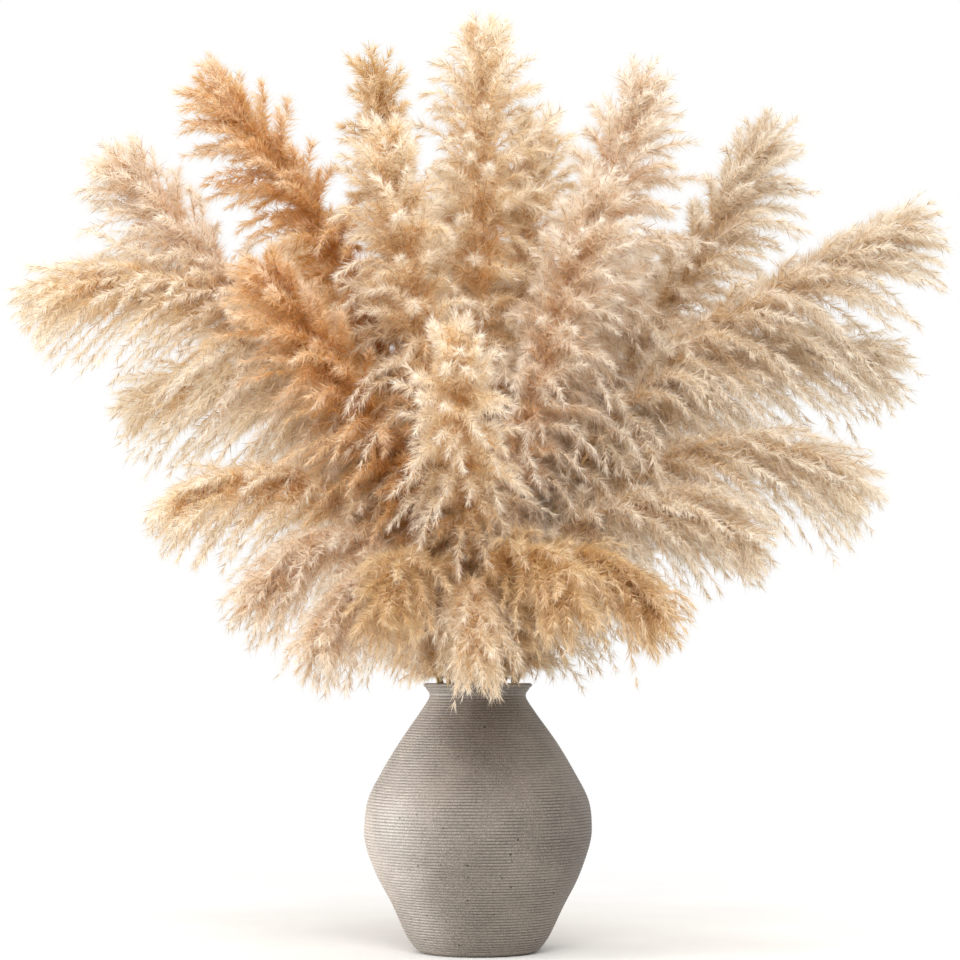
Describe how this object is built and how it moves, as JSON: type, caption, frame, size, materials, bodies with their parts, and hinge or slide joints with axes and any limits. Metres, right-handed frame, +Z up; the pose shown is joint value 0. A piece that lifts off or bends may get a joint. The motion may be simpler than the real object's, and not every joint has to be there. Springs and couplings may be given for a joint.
{
  "type": "bundle of pampas grass",
  "caption": "Full fan of dried pampas grass plumes on straw stalks, standing loose in a ribbed, pot-bellied stoneware vase with a narrow neck.",
  "frame": {"origin": "centre of the vase's underside, on the surface that it stands on", "axes": "+Z up along the vase's axis; +X to the right of someone who stands in front; +Y leads away from them"},
  "size_m": [1.0598, 0.6534, 1.096],
  "materials": {
    "vase": "matte",
    "stalk": "matte",
    "plume_cream": "matte",
    "plume_blush": "matte",
    "plume_tan": "matte",
    "plume_amber": "matte",
    "plume_sand": "matte"
  },
  "bodies": {
    "root": {"vase": "vase", "stalk_01": "stalk", "plume_01": "plume_cream", "stalk_02": "stalk", "plume_02": "plume_blush", "stalk_03": "stalk", "plume_03": "plume_cream", "stalk_04": "stalk", "plume_04": "plume_cream", "stalk_05": "stalk", "plume_05": "plume_tan", "stalk_06": "stalk", "plume_06": "plume_cream", "stalk_07": "stalk", "plume_07": "plume_sand", "stalk_08": "stalk", "plume_08": "plume_sand", "stalk_09": "stalk", "plume_09": "plume_blush", "stalk_10": "stalk", "plume_10": "plume_cream", "stalk_11": "stalk", "plume_11": "plume_amber", "stalk_12": "stalk", "plume_12": "plume_blush", "stalk_13": "stalk", "plume_13": "plume_amber", "stalk_14": "stalk", "plume_14": "plume_cream", "stalk_15": "stalk", "plume_15": "plume_blush", "stalk_16": "stalk", "plume_16": "plume_sand", "stalk_17": "stalk", "plume_17": "plume_sand", "stalk_18": "stalk", "plume_18": "plume_sand", "stalk_19": "stalk", "plume_19": "plume_cream", "stalk_20": "stalk", "plume_20": "plume_cream", "stalk_21": "stalk", "plume_21": "plume_cream", "stalk_22": "stalk", "plume_22": "plume_cream", "stalk_23": "stalk", "plume_23": "plume_blush", "stalk_24": "stalk", "plume_24": "plume_blush", "stalk_25": "stalk", "plume_25": "plume_tan", "stalk_26": "stalk", "plume_26": "plume_cream", "stalk_27": "stalk", "plume_27": "plume_tan", "stalk_28": "stalk", "plume_28": "plume_tan", "stalk_29": "stalk", "plume_29": "plume_sand"}
  },
  "joints": []
}
